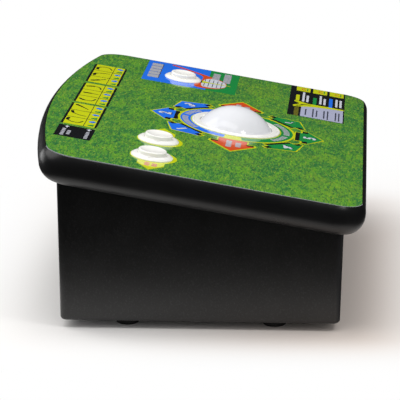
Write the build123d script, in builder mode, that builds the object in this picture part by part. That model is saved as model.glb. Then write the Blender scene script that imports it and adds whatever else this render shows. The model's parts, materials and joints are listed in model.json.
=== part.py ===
from build123d import *
import os
from math import cos, radians, sin, sqrt

os.makedirs("parts", exist_ok=True)

# Tabletop trackball game console. Millimetres, +X to the player's right, +Y away from the player, +Z up.
# The origin is on the floor, under the middle of the whole console.

# ---------------------------------------------------------------- driving dimensions
tilt = 10.0  # slope of the control panel, rising away from the player
foot_height = 6.5
panel_height = 126.0  # top of the panel above the floor, at the trackball's axis
ball_y = -24.73  # the trackball's axis where it meets the panel
body_y = -5.5  # middle of the body, front to back

body_width = 368.0
body_depth = 226.5
body_corner = 5.5
wall = 3.5

deck_half_width = 199.0  # to the edge of the overlay
deck_front = -112.8  # along the slope, from the trackball's axis
deck_back = 159.3
back_arc_radius = 937.0
front_corner = 20.0
back_corner = 25.0
deck_plate = 3.0
overlay_thickness = 0.5
rim_depth = 24.0
rim_bulge = 4.5
flange_top = 18.5  # depth of the body's flange below the panel
flange_thickness = 2.5
flange_inset = 5.5

ball_radius = 38.1  # a standard 3 inch trackball
ball_drop = 21.5  # ball centre below the panel
ball_hole = 37.6
bezel_radius = 39.0
bezel_height = 1.3
housing_size = 108.0
housing_wall = 3.0
housing_depth = 68.0
housing_screw_offset = 47.0

roller_radius = 6.0
roller_length = 30.0
shaft_radius = 2.0
running_gap = 0.05
contact_angle = 35.0  # where the rollers touch the ball, below its equator
bearing_radius = 5.0
bearing_width = 4.0
bearing_offset = 24.0
encoder_radius = 14.0
encoder_offset = -32.0
encoder_slots = 24

button_v = 59.5
outer_button_x = -152.0
inner_button_x = -97.3
start_button_x = 144.6
flange_radius = 17.2
barrel_radius = 14.0
button_hole = 14.2
plunger_radius = 11.7
plunger_top = 5.8
lever_depth = 28.35  # the microswitch lever's hinge below the panel
lever_arm = 11.0
lever_length = 15.5
lever_thickness = 0.4

cell_radius = 7.1
cell_length = 49.5
cell_pitch = 15.0
bay_x = -95.0
bay_y = -10.0
base_plate_bottom = 6.8
base_plate_thickness = 3.0
base_screw_inset = 9.5  # from the outside of the walls
door_thickness = 2.0

board_x = 60.0
board_y = 10.0
board_width = 110.0
board_depth = 80.0
board_bottom = 18.0
board_thickness = 1.6

socket_height = 42.0
video_socket_x = 30.0
audio_socket_x = 52.0
power_jack_x = -40.0
power_switch_x = -72.0

# ---------------------------------------------------------------- reference planes
panel = Plane(
    origin=(0, ball_y, panel_height),
    x_dir=(1, 0, 0),
    z_dir=(0, -sin(radians(tilt)), cos(radians(tilt))),
)
across = panel.x_dir
up_slope = panel.y_dir
normal = panel.z_dir
base = Plane(origin=(0, body_y, 0))  # the floor, under the middle of the body
rear_wall_y = body_y + body_depth / 2
base_plate_top = base_plate_bottom + base_plate_thickness


def on_panel(x, v, depth=0.0):
    """A point at x across and v up the slope from the trackball's axis, depth below the panel."""
    return panel.from_local_coords(Vector(x, v, -depth))


def panel_plane(x, v, depth=0.0):
    """A plane parallel to the panel, with its origin at that point."""
    return Plane(origin=on_panel(x, v, depth), x_dir=across, z_dir=normal)


def section_plane(x, v):
    """A plane through the panel's normal at x, v: local x runs across and local y along the normal."""
    return Plane(origin=on_panel(x, v), x_dir=across, z_dir=-up_slope)


def normal_axis(x, v):
    return Axis(on_panel(x, v), normal)


def write_part(part, name):
    """Labels a finished piece and writes its STEP file."""
    part.label = name
    export_step(part, f"parts/{name}.step")


# ---------------------------------------------------------------- top deck and overlay
def deck_outline(plane, inset=0.0):
    """The deck's plan shape: straight front and sides, a shallow arc at the back, rounded corners."""
    back_corner_v = deck_back - back_arc_radius + sqrt(back_arc_radius**2 - deck_half_width**2)
    with BuildSketch(plane) as outline:
        with BuildLine():
            ThreePointArc(
                (-deck_half_width, back_corner_v), (0, deck_back), (deck_half_width, back_corner_v)
            )
            Polyline(
                (deck_half_width, back_corner_v),
                (deck_half_width, deck_front),
                (-deck_half_width, deck_front),
                (-deck_half_width, back_corner_v),
            )
        make_face()
        corners = outline.vertices().sort_by(Axis.Y)
        fillet(corners[:2], front_corner)
        fillet(outline.vertices().sort_by(Axis.Y)[-2:], back_corner)
        if inset:
            offset(amount=-inset)
    return outline


deck_screws_at = (
    [(side * 189.0, v) for side in (-1, 1) for v in (-78.0, 15.0, 108.0)]
    + [(side * 95.0, 144.0) for side in (-1, 1)]
)
housing_screws_at = [
    (i * housing_screw_offset, j * housing_screw_offset) for i in (-1, 1) for j in (-1, 1)
]
buttons_at = [(outer_button_x, button_v), (inner_button_x, button_v), (start_button_x, button_v)]

rim_plane = Plane(origin=on_panel(0, deck_front), x_dir=-up_slope, z_dir=-across)
with BuildSketch(rim_plane) as rim_section:
    with BuildLine():
        Polyline(
            (-1.5, -deck_plate - 0.5),
            (-1.5, -overlay_thickness),
            (0, -overlay_thickness),
            (0, 0),
            (0.5, 0),
        )
        ThreePointArc((0.5, 0), (3.3, -4.0), (rim_bulge, -10.0))
        ThreePointArc((rim_bulge, -10.0), (3.0, -17.9), (-2.4, -rim_depth))
        Line((-2.4, -rim_depth), (-4.2, -23.0))
        ThreePointArc((-4.2, -23.0), (0.2, -17.2), (1.5, -10.5))
        ThreePointArc((1.5, -10.5), (0.6, -6.2), (-1.5, -deck_plate - 0.5))
    make_face()

with BuildPart() as deck:
    sweep(sections=rim_section.sketch, path=deck_outline(panel).sketch.face().outer_wire())
    add(deck_outline(panel.offset(-overlay_thickness - deck_plate), inset=0.6).sketch)
    extrude(amount=deck_plate)
    # ribs that stiffen the plate
    with BuildSketch(panel.offset(-overlay_thickness - deck_plate)):
        with Locations((0, -82), (0, 118)):
            Rectangle(350, 2)
    extrude(amount=-9)
    # bosses for the screws through the body's flange
    with BuildSketch(panel.offset(-flange_top)):
        with Locations(*deck_screws_at):
            Circle(4)
    extrude(amount=flange_top - overlay_thickness - deck_plate)
    # bosses for the trackball housing
    with BuildSketch(panel.offset(-17.5)):
        with Locations(*housing_screws_at):
            Circle(5)
    extrude(amount=17.5 - overlay_thickness - deck_plate)
    with BuildSketch(panel):
        Circle(ball_hole)
        with Locations(*buttons_at):
            Circle(button_hole)
    extrude(amount=-10, mode=Mode.SUBTRACT)
    with BuildSketch(panel.offset(-flange_top)):
        with Locations(*deck_screws_at):
            Circle(1.35)
    extrude(amount=13, mode=Mode.SUBTRACT)
    with BuildSketch(panel.offset(-17.5)):
        with Locations(*housing_screws_at):
            Circle(1.75)
    extrude(amount=11, mode=Mode.SUBTRACT)
write_part(deck.part, "top_deck")

with BuildPart() as overlay:
    add(deck_outline(panel.offset(-overlay_thickness), inset=0.12).sketch)
    with BuildSketch(panel.offset(-overlay_thickness), mode=Mode.PRIVATE) as overlay_holes:
        Circle(ball_hole)
        with Locations(*buttons_at):
            Circle(button_hole)
    extrude(amount=overlay_thickness)
    extrude(overlay_holes.sketch, amount=overlay_thickness, mode=Mode.SUBTRACT)
write_part(overlay.part, "graphic_overlay")


# ---------------------------------------------------------------- body shell
def body_outline(inset=0.0, height=0.0):
    with BuildSketch(base.offset(height)) as outline:
        RectangleRounded(body_width - 2 * inset, body_depth - 2 * inset, body_corner - inset)
    return outline


base_screws_at = [
    (i * (body_width / 2 - base_screw_inset), j * (body_depth / 2 - base_screw_inset))
    for i in (-1, 0, 1)
    for j in (-1, 1)
]
top_of_walls = panel_height + 40

with BuildPart() as body:
    add(body_outline(height=foot_height).sketch)
    extrude(amount=top_of_walls)
    fillet(body.faces().sort_by(Axis.Z)[0].edges(), 2.8)
    split(bisect_by=panel.offset(-flange_top), keep=Keep.BOTTOM)
    add(deck_outline(panel.offset(-flange_top - flange_thickness), inset=flange_inset).sketch)
    extrude(amount=flange_thickness)
    add(body_outline(inset=wall, height=foot_height).sketch)
    extrude(amount=top_of_walls, mode=Mode.SUBTRACT)
    # columns for the base plate screws, joined to the walls
    with BuildSketch(base.offset(base_plate_top)):
        with Locations(*base_screws_at):
            Circle(7)
    extrude(amount=20)
    with BuildSketch(base.offset(base_plate_top)):
        with Locations(*base_screws_at):
            Circle(1.35)
    extrude(amount=16, mode=Mode.SUBTRACT)
    # clearance holes for the deck screws
    with BuildSketch(panel.offset(-flange_top)):
        with Locations(*deck_screws_at):
            Circle(1.9)
    extrude(amount=-flange_thickness, mode=Mode.SUBTRACT)
    # openings in the rear wall
    with BuildSketch(Plane(origin=(0, rear_wall_y, socket_height), x_dir=(-1, 0, 0), z_dir=(0, 1, 0))):
        with Locations((-video_socket_x, 0), (-audio_socket_x, 0)):
            Circle(5.3)
        with Locations((-power_jack_x, 0)):
            Circle(4.8)
        with Locations((-power_switch_x, 0)):
            RectangleRounded(11, 5, 1)
    extrude(amount=-wall, mode=Mode.SUBTRACT)
write_part(body.part, "body_shell")

# ---------------------------------------------------------------- base plate, battery bay and feet
bay_width = 4 * cell_pitch + 2.0
bay_length = cell_length + 11.0
bay_height = 19.0
bay_wall = 2.0
door_width = bay_width - 0.6
door_length = bay_length - 0.6

board_posts_at = [
    (board_x + i * (board_width / 2 - 5), board_y + j * (board_depth / 2 - 5))
    for i in (-1, 1)
    for j in (-1, 1)
]

with BuildPart() as base_plate:
    add(body_outline(inset=wall + 0.25, height=base_plate_bottom).sketch)
    extrude(amount=base_plate_thickness)
    with BuildSketch(base.offset(base_plate_bottom)):
        with Locations((bay_x, bay_y)):
            RectangleRounded(bay_width + 2 * bay_wall, bay_length + 2 * bay_wall, 2.5)
    extrude(amount=bay_height + bay_wall)
    with BuildSketch(base.offset(base_plate_bottom)):
        with Locations((bay_x, bay_y)):
            Rectangle(bay_width, bay_length)
    extrude(amount=bay_height, mode=Mode.SUBTRACT)
    # ledge that the battery door closes against, on the latch side
    with BuildSketch(base.offset(base_plate_bottom + door_thickness + 0.2)):
        with Locations((bay_x, bay_y - bay_length / 2 + 1)):
            Rectangle(bay_width, 2)
    extrude(amount=1.5)
    with BuildSketch(base.offset(base_plate_top)):
        with Locations(*board_posts_at):
            Circle(3.5)
    extrude(amount=board_bottom - base_plate_top)
    with BuildSketch(base.offset(base_plate_top)):
        with Locations(*board_posts_at):
            Circle(1.2)
    extrude(amount=board_bottom - base_plate_top, mode=Mode.SUBTRACT)
    # slots for the door's two hook tabs
    with BuildSketch(base.offset(base_plate_bottom + 0.6)):
        with Locations((bay_x, bay_y + bay_length / 2 + 1)):
            with GridLocations(36, 0, 2, 1):
                Rectangle(8.6, 2)
    extrude(amount=2.8, mode=Mode.SUBTRACT)
    with Locations(base.offset(base_plate_bottom).rotated((180, 0, 0))):
        with Locations(*[(x, -y) for x, y in base_screws_at]):
            CounterSinkHole(radius=1.9, counter_sink_radius=3.9, depth=base_plate_thickness)
write_part(base_plate.part, "base_plate")

with BuildPart() as battery_door:
    with BuildSketch(base.offset(base_plate_bottom)):
        with Locations((bay_x, bay_y)):
            Rectangle(door_width, door_length)
    extrude(amount=door_thickness)
    # hook tabs that hold the hinge side
    with BuildSketch(base.offset(base_plate_bottom + 0.8)):
        with Locations((bay_x, bay_y + door_length / 2 + 0.4)):
            with GridLocations(36, 0, 2, 1):
                Rectangle(8, 2.8)
    extrude(amount=door_thickness - 0.8)
    # grip grooves near the latch
    with BuildSketch(base.offset(base_plate_bottom)):
        with Locations((bay_x, bay_y - door_length / 2 + 8)):
            with GridLocations(0, 3, 1, 3):
                SlotOverall(20, 1.2)
    extrude(amount=0.7, mode=Mode.SUBTRACT)
write_part(battery_door.part, "battery_door")

with BuildPart() as batteries:
    with BuildSketch(Plane.XZ.offset(-(body_y + bay_y - cell_length / 2))):
        with Locations((bay_x, base_plate_bottom + bay_height - cell_radius - 1.2)):
            with GridLocations(cell_pitch, 0, 4, 1):
                Circle(cell_radius)
    extrude(amount=-cell_length)
    fillet(batteries.edges().filter_by(GeomType.CIRCLE), 0.8)
write_part(batteries.part, "batteries")

# a flat spring plate at each end of every cell
with BuildPart() as battery_contacts:
    with BuildSketch(base.offset(base_plate_bottom + 5)):
        with Locations((bay_x, bay_y)):
            with GridLocations(cell_pitch, bay_length - 0.6, 4, 2):
                Rectangle(10, 0.5)
    extrude(amount=12.5)
    with BuildSketch(Plane.XZ.offset(-(body_y + bay_y - bay_length / 2 + 0.5))):
        with Locations((bay_x, base_plate_bottom + bay_height - cell_radius - 1.2)):
            with GridLocations(cell_pitch, 0, 4, 1):
                Circle(3.2)
    extrude(amount=-4.4, taper=25)
    with BuildSketch(Plane.XZ.offset(-(body_y + bay_y + bay_length / 2 - 0.5))):
        with Locations((bay_x, base_plate_bottom + bay_height - cell_radius - 1.2)):
            with GridLocations(cell_pitch, 0, 4, 1):
                Circle(3.2)
    extrude(amount=4.4, taper=25)
write_part(battery_contacts.part, "battery_contacts")

with BuildPart() as feet:
    with BuildSketch(base.offset(base_plate_bottom)):
        with GridLocations(328, 120, 2, 2):
            Circle(10)
    extrude(amount=-base_plate_bottom, taper=7)
    fillet(feet.edges().filter_by(GeomType.CIRCLE).group_by(Axis.Z)[0], 0.8)
write_part(feet.part, "rubber_feet")


# ---------------------------------------------------------------- screws
def screws_along(plane, positions, head_radius, head_height, shank_radius, length):
    """Pan head screws: heads sit below the plane, shanks rise from it along its normal."""
    along = Axis(plane.origin, plane.z_dir)
    with BuildPart() as screws:
        with BuildSketch(plane.offset(-head_height)):
            with Locations(*positions):
                Circle(head_radius)
        extrude(amount=head_height)
        rounds = screws.edges().filter_by(GeomType.CIRCLE)
        fillet(rounds.group_by(along)[0], head_height * 0.4)
        with BuildSketch(plane):
            with Locations(*positions):
                Circle(shank_radius)
        extrude(amount=length)
        # cross recess
        with BuildSketch(plane.offset(-head_height)):
            with Locations(*positions):
                Rectangle(head_radius, 0.9)
                Rectangle(0.9, head_radius)
        extrude(amount=head_height * 0.6, mode=Mode.SUBTRACT)
    return screws


flange_underside = panel.offset(-flange_top - flange_thickness)
deck_screws = screws_along(flange_underside, deck_screws_at, 3.4, 2.2, 1.3, 12)
write_part(deck_screws.part, "deck_screws")

housing_screw_length = housing_depth - 9
housing_underside = panel.offset(-housing_depth)
housing_screws = screws_along(
    housing_underside, housing_screws_at, 3.6, 2.4, 1.7, housing_screw_length
)
write_part(housing_screws.part, "trackball_housing_screws")

with BuildPart() as base_screws:
    with BuildSketch(base.offset(base_plate_bottom + 0.2)):
        with Locations(*base_screws_at):
            Circle(3.6)
    extrude(amount=2.2, taper=40)
    with BuildSketch(base.offset(base_plate_bottom + 0.2)):
        with Locations(*base_screws_at):
            Circle(1.3)
    extrude(amount=14)
    with BuildSketch(base.offset(base_plate_bottom + 0.2)):
        with Locations(*base_screws_at):
            Rectangle(3.6, 0.9)
            Rectangle(0.9, 3.6)
    extrude(amount=1.3, mode=Mode.SUBTRACT)
write_part(base_screws.part, "base_plate_screws")

# ---------------------------------------------------------------- trackball
ball_centre = on_panel(0, 0, ball_drop)

with BuildPart(Plane(origin=ball_centre)) as trackball:
    Sphere(ball_radius)
write_part(trackball.part, "trackball")

with BuildPart() as bezel:
    with BuildSketch(section_plane(0, 0)):
        with BuildLine():
            Polyline((37.4, 0), (bezel_radius, 0), (bezel_radius, 0.4))
            ThreePointArc((bezel_radius, 0.4), (38.7, 0.9), (37.9, 1.1))
            Line((37.9, 1.1), (33.0, bezel_height))
            ThreePointArc((33.0, bezel_height), (32.2, 1.1), (31.9, 0.5))
            Polyline((31.9, 0.5), (35.7, -6), (37.4, -6), (37.4, 0))
        make_face()
    revolve(axis=normal_axis(0, 0))
    # two slots for the tool that turns the ring
    with BuildSketch(panel.offset(bezel_height - 0.6)):
        with PolarLocations(36.6, 2, start_angle=90):
            Rectangle(0.9, 12)
    extrude(amount=2, mode=Mode.SUBTRACT)
write_part(bezel.part, "trackball_bezel")

upper_ring_inner = ball_radius + 1.1
upper_ring_outer = upper_ring_inner + 3.8
with BuildPart() as upper_housing:
    with BuildSketch(panel.offset(-ball_drop)):
        RectangleRounded(housing_size, housing_size, 6)
    extrude(amount=4)
    with BuildSketch(panel.offset(-ball_drop)):
        Circle(upper_ring_outer)
    extrude(amount=ball_drop - overlay_thickness - deck_plate)
    with BuildSketch(panel.offset(-ball_drop)):
        Circle(upper_ring_inner)
        with Locations(*housing_screws_at):
            Circle(1.9)
    extrude(amount=ball_drop, mode=Mode.SUBTRACT)
write_part(upper_housing.part, "trackball_upper_housing")

# places of the three supports, worked out from the contact angle
support_reach = ball_radius + roller_radius + running_gap
support_out = support_reach * cos(radians(contact_angle))
support_depth = ball_drop + support_reach * sin(radians(contact_angle))
idler_out = support_out * sqrt(0.5)
housing_floor = housing_depth - housing_wall

back_roller_plane = Plane(origin=on_panel(0, support_out, support_depth), x_dir=normal, z_dir=across)
side_roller_plane = Plane(origin=on_panel(support_out, 0, support_depth), x_dir=normal, z_dir=up_slope)
idler_direction = (across - up_slope).normalized()
idler_plane = Plane(
    origin=on_panel(-idler_out, -idler_out, support_depth), x_dir=normal, z_dir=idler_direction
)
idler_width = 8.0
idler_axle_radius = 1.5
post_top = support_depth - 3.0
bearing_posts_at = [(i * bearing_offset, support_out) for i in (-1, 1)]

with BuildPart() as lower_housing:
    with BuildSketch(panel.offset(-housing_depth)):
        RectangleRounded(housing_size, housing_size, 6)
    extrude(amount=housing_depth - ball_drop)
    with BuildSketch(panel.offset(-housing_floor)):
        RectangleRounded(housing_size - 2 * housing_wall, housing_size - 2 * housing_wall, 4)
    extrude(amount=housing_floor - ball_drop, mode=Mode.SUBTRACT)
    # corner columns for the long screws
    with BuildSketch(panel.offset(-housing_depth)):
        with Locations(*housing_screws_at):
            Circle(5)
    extrude(amount=housing_depth - ball_drop)
    # posts that carry the ball bearings
    with BuildSketch(panel.offset(-housing_floor)):
        with Locations(*bearing_posts_at):
            Rectangle(bearing_width, 14)
        with Locations(*[(v, x) for x, v in bearing_posts_at]):
            Rectangle(14, bearing_width)
    extrude(amount=housing_floor - post_top)
    # posts for the idler roller
    with BuildSketch(panel.offset(-housing_floor)):
        with Locations((-idler_out, -idler_out)):
            with Locations(Location((0, 0, 0), (0, 0, -45))):
                with GridLocations(14.0, 0, 2, 1):
                    Rectangle(3, 8)
    extrude(amount=housing_floor - post_top)
    # bearing seats, open upwards
    for roller_plane in (back_roller_plane, side_roller_plane):
        with BuildSketch(roller_plane.offset(-bearing_offset - bearing_width)):
            Circle(bearing_radius)
            with Locations((6, 0)):
                Rectangle(12, 2 * bearing_radius)
        extrude(amount=2 * (bearing_offset + bearing_width), mode=Mode.SUBTRACT)
    with BuildSketch(idler_plane.offset(-10)):
        Circle(idler_axle_radius + running_gap)
        with Locations((4, 0)):
            Rectangle(8, 2 * (idler_axle_radius + running_gap))
    extrude(amount=20, mode=Mode.SUBTRACT)
    with BuildSketch(panel.offset(-housing_depth)):
        with Locations(*housing_screws_at):
            Circle(1.9)
        # cable outlet
        with Locations((0, -30)):
            SlotOverall(18, 8)
    extrude(amount=housing_depth - ball_drop, mode=Mode.SUBTRACT)
write_part(lower_housing.part, "trackball_lower_housing")


def roller_with_shaft(roller_plane):
    """A sensing roller and its shaft, with the long end on the encoder's side."""
    with BuildPart() as roller:
        with BuildSketch(roller_plane.offset(-roller_length / 2)):
            Circle(roller_radius)
        extrude(amount=roller_length)
        chamfer(roller.edges().filter_by(GeomType.CIRCLE), 0.6)
        with BuildSketch(roller_plane.offset(encoder_offset - 5)):
            Circle(shaft_radius)
        extrude(amount=bearing_offset + 3 - encoder_offset + 5)
    return roller


def encoder_wheel(roller_plane):
    """A slotted disc on a hub."""
    with BuildPart() as wheel:
        with BuildSketch(roller_plane.offset(encoder_offset - 0.6)):
            Circle(encoder_radius)
        extrude(amount=1.2)
        with BuildSketch(roller_plane.offset(encoder_offset - 3)):
            Circle(3.6)
        extrude(amount=6)
        with BuildSketch(roller_plane.offset(encoder_offset - 3)):
            Circle(shaft_radius)
        extrude(amount=6, mode=Mode.SUBTRACT)
        with BuildSketch(roller_plane.offset(encoder_offset - 0.6)):
            with PolarLocations(encoder_radius - 2.4, encoder_slots):
                Rectangle(2.6, 1.3)
        extrude(amount=1.2, mode=Mode.SUBTRACT)
    return wheel


write_part(roller_with_shaft(back_roller_plane).part, "back_roller")
write_part(roller_with_shaft(side_roller_plane).part, "side_roller")
write_part(encoder_wheel(back_roller_plane).part, "back_encoder_wheel")
write_part(encoder_wheel(side_roller_plane).part, "side_encoder_wheel")

with BuildPart() as idler:
    with BuildSketch(idler_plane.offset(-idler_width / 2)):
        Circle(roller_radius)
    extrude(amount=idler_width)
    chamfer(idler.edges().filter_by(GeomType.CIRCLE), 0.5)
    with BuildSketch(idler_plane.offset(-8.4)):
        Circle(idler_axle_radius)
    extrude(amount=16.8)
write_part(idler.part, "idler_roller")

with BuildPart() as roller_bearings:
    for roller_plane in (back_roller_plane, side_roller_plane):
        for end in (-1, 1):
            with BuildSketch(roller_plane.offset(end * bearing_offset - bearing_width / 2)):
                Circle(bearing_radius)
                Circle(shaft_radius + running_gap, mode=Mode.SUBTRACT)
            extrude(amount=bearing_width)
write_part(roller_bearings.part, "roller_bearings")

# encoder boards lie on the housing floor; each sensor straddles the bottom of its wheel
sensor_board_top = housing_floor - board_thickness
sensors_at = [(encoder_offset, support_out, 0), (support_out, encoder_offset, 90)]

with BuildPart() as encoder_boards:
    with BuildSketch(panel.offset(-housing_floor)):
        for x, v, turn in sensors_at:
            with Locations(Location((x, v, 0), (0, 0, turn))):
                Rectangle(11, 20)
    extrude(amount=board_thickness)
write_part(encoder_boards.part, "encoder_boards")

with BuildPart() as encoder_sensors:
    with BuildSketch(panel.offset(-sensor_board_top)):
        for x, v, turn in sensors_at:
            with Locations(Location((x, v, 0), (0, 0, turn))):
                Rectangle(9, 6)
    extrude(amount=9)
    with BuildSketch(panel.offset(-sensor_board_top + 1.6)):
        for x, v, turn in sensors_at:
            with Locations(Location((x, v, 0), (0, 0, turn))):
                Rectangle(3, 6)
    extrude(amount=8, mode=Mode.SUBTRACT)
write_part(encoder_sensors.part, "encoder_sensors")

# ---------------------------------------------------------------- push buttons
barrel_floor = 22.0
barrel_bottom = 24.0
switch_top = 33.0
switch_bottom = 49.0
switch_width = 10.0
leg_gap = 0.05


def button_housing(x):
    """Domed flange, barrel through the panel, and two legs that hold the microswitch."""
    with BuildPart() as housing:
        with BuildSketch(section_plane(x, button_v)):
            with BuildLine():
                Polyline(
                    (4.3, -barrel_floor),
                    (plunger_radius + 0.4, -barrel_floor),
                    (plunger_radius + 0.4, 2.2),
                )
                ThreePointArc((plunger_radius + 0.4, 2.2), (12.4, 2.5), (12.9, 2.5))
                ThreePointArc((12.9, 2.5), (15.6, 1.9), (flange_radius, 0.7))
                Polyline(
                    (flange_radius, 0.7),
                    (flange_radius, 0),
                    (barrel_radius, 0),
                    (barrel_radius, -barrel_bottom),
                    (4.3, -barrel_bottom),
                    (4.3, -barrel_floor),
                )
            make_face()
        revolve(axis=normal_axis(x, button_v))
        with BuildSketch(panel_plane(x, button_v, barrel_bottom)):
            with GridLocations(0, switch_width + 2 * leg_gap + 2.5, 1, 2):
                Rectangle(12, 2.5)
        extrude(amount=barrel_bottom - switch_bottom + 3)
        # nubs that snap into the switch's fixing holes
        with BuildSketch(Plane(origin=on_panel(x, button_v, 42), x_dir=across, z_dir=up_slope).offset(-6)):
            with Locations((-4, 0), (4, 0)):
                Circle(1.3)
        extrude(amount=2)
        with BuildSketch(Plane(origin=on_panel(x, button_v, 42), x_dir=across, z_dir=up_slope).offset(6)):
            with Locations((-4, 0), (4, 0)):
                Circle(1.3)
        extrude(amount=-2)
        # notches beside the plunger for the ring spanner
        with BuildSketch(panel_plane(x, button_v, -1.5)):
            with GridLocations(27.6, 0, 2, 1):
                Rectangle(1.4, 4)
        extrude(amount=2, mode=Mode.SUBTRACT)
    return housing


def button_plunger(x):
    """Dished cap, stem with a snap barb, and a rounded nub that meets the switch lever."""
    with BuildPart() as plunger:
        with BuildSketch(section_plane(x, button_v)):
            with BuildLine():
                ThreePointArc((0, plunger_top - 1.3), (5.2, plunger_top - 1.0), (10.2, plunger_top))
                ThreePointArc(
                    (10.2, plunger_top),
                    (11.3, plunger_top - 0.35),
                    (plunger_radius, plunger_top - 1.4),
                )
                Polyline(
                    (plunger_radius, plunger_top - 1.4),
                    (plunger_radius, -9.5),
                    (4.0, -9.5),
                    (4.0, -barrel_bottom - 0.1),
                    (4.8, -barrel_bottom - 0.1),
                    (3.4, -barrel_bottom - 1.2),
                    (1.5, -barrel_bottom - 1.2),
                    (1.5, -lever_depth + 1.85),
                )
                ThreePointArc(
                    (1.5, -lever_depth + 1.85),
                    (1.5 * sqrt(0.5), -lever_depth + 1.85 - 1.5 * sqrt(0.5)),
                    (0, -lever_depth + 0.35),
                )
                Line((0, -lever_depth + 0.35), (0, plunger_top - 1.3))
            make_face()
        revolve(axis=normal_axis(x, button_v))
    return plunger


def button_spring(x):
    """The return spring round the stem, at its rest length."""
    wire = 0.45
    coil_radius = 7.0
    bottom = barrel_floor - wire - 0.05
    height = barrel_floor - 9.5 - 2 * wire - 0.1
    start = panel_plane(x, button_v, bottom)
    coil = start.location * Helix(pitch=height / 5, height=height, radius=coil_radius)
    with BuildPart() as spring:
        with BuildLine():
            add(coil)
        with BuildSketch(Plane(origin=coil @ 0, z_dir=coil % 0)):
            Circle(wire)
        sweep(is_frenet=True)
    return spring


def switch_lever(x):
    """A flat lever with its hinge pin; the pin turns in the switch's two ears."""
    with BuildPart() as lever:
        with BuildSketch(panel_plane(x - lever_arm, button_v, lever_depth + lever_thickness / 2)):
            with Locations((lever_length / 2, 0)):
                Rectangle(lever_length, 6)
        extrude(amount=lever_thickness)
        pin_plane = Plane(origin=on_panel(x - lever_arm, button_v, lever_depth), x_dir=across, z_dir=up_slope)
        with BuildSketch(pin_plane.offset(-4.9)):
            Circle(0.6)
        extrude(amount=9.8)
    return lever


for name, x in (("outer", outer_button_x), ("inner", inner_button_x), ("start", start_button_x)):
    write_part(button_housing(x).part, name + "_button_housing")
    write_part(button_plunger(x).part, name + "_button_plunger")
    write_part(button_spring(x).part, name + "_button_spring")
    write_part(switch_lever(x).part, name + "_button_lever")

with BuildPart() as ring_nuts:
    with BuildSketch(panel.offset(-overlay_thickness - deck_plate)):
        with Locations(*buttons_at):
            RegularPolygon(19, 12)
            Circle(barrel_radius + 0.05, mode=Mode.SUBTRACT)
    extrude(amount=-6)
write_part(ring_nuts.part, "button_ring_nuts")

with BuildPart() as switches:
    with BuildSketch(panel.offset(-switch_bottom)):
        with Locations(*buttons_at):
            Rectangle(28, switch_width)
    extrude(amount=switch_bottom - switch_top)
    # ears for the lever's pin
    with BuildSketch(panel.offset(-switch_top)):
        with Locations(*[(x - lever_arm, v) for x, v in buttons_at]):
            with GridLocations(0, 8.2, 1, 2):
                Rectangle(3.4, 1.2)
    extrude(amount=switch_top - lever_depth + 1.6)
    for x, v in buttons_at:
        hinge_plane = Plane(origin=on_panel(x - lever_arm, v, lever_depth), x_dir=across, z_dir=up_slope)
        with BuildSketch(hinge_plane.offset(-6)):
            Circle(0.65)
        extrude(amount=12, mode=Mode.SUBTRACT)
        fixing_plane = Plane(origin=on_panel(x, v, 42), x_dir=across, z_dir=up_slope)
        with BuildSketch(fixing_plane.offset(-6)):
            with Locations((-4, 0), (4, 0)):
                Circle(1.35)
        extrude(amount=12, mode=Mode.SUBTRACT)
    # actuator stub under the lever
    with BuildSketch(panel.offset(-switch_top)):
        with Locations(*[(x - 6, v) for x, v in buttons_at]):
            Circle(1)
    extrude(amount=0.6)
    # terminals
    with BuildSketch(panel.offset(-switch_bottom)):
        with Locations(*buttons_at):
            with GridLocations(9, 0, 3, 1):
                Rectangle(0.8, 4.8)
    extrude(amount=-6)
write_part(switches.part, "button_microswitches")


# ---------------------------------------------------------------- electronics
board_top = board_bottom + board_thickness

with BuildPart() as main_board:
    with BuildSketch(base.offset(board_bottom)):
        with Locations((board_x, board_y)):
            RectangleRounded(board_width, board_depth, 2)
        with Locations(*board_posts_at):
            Circle(1.6, mode=Mode.SUBTRACT)
    extrude(amount=board_thickness)
write_part(main_board.part, "main_board")

board_screws = screws_along(base.offset(board_top).rotated((180, 0, 0)), [(x, -y) for x, y in board_posts_at],
                            2.6, 1.8, 1.15, 8)
write_part(board_screws.part, "board_screws")

with BuildPart() as processor:
    with BuildSketch(base.offset(board_top)):
        with Locations((board_x - 8, board_y + 4)):
            Rectangle(20, 20)
    extrude(amount=2.4)
    chamfer(processor.faces().sort_by(Axis.Z)[-1].edges(), 0.4)
    # leads along all four sides
    with BuildSketch(base.offset(board_top)):
        with Locations((board_x - 8, board_y + 4)):
            with GridLocations(21.4, 1.6, 2, 11):
                Rectangle(1.4, 0.7)
            with GridLocations(1.6, 21.4, 11, 2):
                Rectangle(0.7, 1.4)
    extrude(amount=0.8)
write_part(processor.part, "processor")

with BuildPart() as capacitors:
    with BuildSketch(base.offset(board_top)):
        with Locations((board_x + 32, board_y + 10)):
            Circle(4)
        with Locations((board_x + 26, board_y + 22), (board_x + 38, board_y + 22)):
            Circle(4)
    extrude(amount=11)
    fillet(capacitors.faces().sort_by(Axis.Z)[-3:].edges(), 0.6)
write_part(capacitors.part, "capacitors")

with BuildPart() as crystal:
    with BuildSketch(base.offset(board_top)):
        with Locations((board_x + 14, board_y - 6)):
            SlotOverall(11, 4.6)
    extrude(amount=3.5)
    fillet(crystal.faces().sort_by(Axis.Z)[-1].edges(), 0.5)
write_part(crystal.part, "crystal")

connectors_at = [
    (board_x - 36, board_y - 32),
    (board_x - 10, board_y - 32),
    (board_x + 16, board_y - 32),
    (board_x - 10, board_y + 34),
]
with BuildPart() as connectors:
    with BuildSketch(base.offset(board_top)):
        with Locations(*connectors_at):
            Rectangle(15, 6)
    extrude(amount=7)
    with BuildSketch(base.offset(board_top + 7)):
        with Locations(*connectors_at):
            Rectangle(13, 3.8)
    extrude(amount=-4, mode=Mode.SUBTRACT)
write_part(connectors.part, "board_connectors")

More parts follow.
